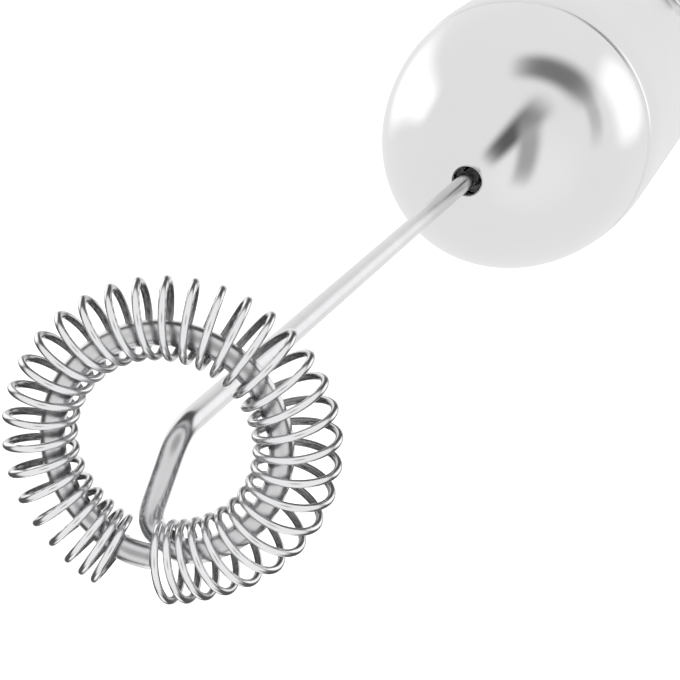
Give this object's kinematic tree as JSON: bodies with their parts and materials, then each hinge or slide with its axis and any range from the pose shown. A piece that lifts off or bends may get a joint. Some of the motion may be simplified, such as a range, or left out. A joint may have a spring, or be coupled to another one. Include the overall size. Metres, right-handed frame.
{
  "type": "milk frother",
  "caption": "Battery milk frother: coil-ring whisk on a bent wire shaft, domed chrome nose and tubular handle, standing on its flat tail cap.",
  "frame": {"origin": "centre of the flat tail face that the frother stands on", "axes": "+Z along the handle's axis from the tail to the whisk, -Y towards the switch"},
  "size_m": [0.033, 0.0347, 0.2156],
  "materials": {
    "polished_chrome": "mirror-polished chrome plate",
    "bright_steel": "bright polished steel tube",
    "stainless_wire": "drawn stainless wire, bright",
    "motor_steel": "plated motor steel",
    "black_plastic": "fine-textured black moulding",
    "grey_plastic": "grey moulding",
    "nylon": "natural nylon",
    "brass": "machined brass",
    "copper": "copper segments",
    "ferrite": "dark sintered ferrite",
    "rubber": "matt black rubber",
    "nickel": "nickel-plated strip",
    "cell_wrap": "plain printed sleeve, no text",
    "red_lead": "red wire insulation"
  },
  "bodies": {
    "handle": {"nose_dome": "polished_chrome", "nose_bushing": "grey_plastic", "handle_shell": "bright_steel", "switch_bezel": "polished_chrome", "switch_body": "grey_plastic", "battery_up": "cell_wrap", "battery_down": "cell_wrap", "contact_plus": "nickel", "contact_minus": "nickel", "spring_minus": "stainless_wire", "battery_cradle": "grey_plastic", "motor_can": "motor_steel", "motor_end_bell": "nylon", "magnet_left": "ferrite", "magnet_right": "ferrite", "brush_front": "brass", "brush_back": "brass", "terminal_left": "nickel", "terminal_right": "nickel", "motor_mount": "grey_plastic", "mount_screw_front": "nickel", "mount_screw_back": "nickel", "lead_red": "red_lead", "lead_black": "rubber"},
    "whisk": {"whisk_shaft": "stainless_wire", "whisk_coil": "stainless_wire", "shaft_coupling": "brass", "motor_shaft": "stainless_wire", "motor_armature": "motor_steel", "commutator": "copper"},
    "button": {"switch_button": "black_plastic"},
    "cap": {"tail_cap": "black_plastic", "tail_oring": "rubber", "bridge_plate": "nickel", "tail_spring": "stainless_wire"}
  },
  "joints": [
    {"name": "whisk_spin", "type": "hinge", "parent": "handle", "child": "whisk", "pos_m": [0, 0, 0.13], "axis": [0, 0, 1], "continuous": true},
    {"name": "button_press", "type": "slide", "parent": "handle", "child": "button", "axis": [0, 1, 0], "range_m": [0, 0.0012], "stiffness_N_per_m": 600, "springref_m": -0.0008},
    {"name": "cap_pull", "type": "slide", "parent": "handle", "child": "cap", "axis": [0, 0, -1], "range_m": [0, 0.02]}
  ]
}
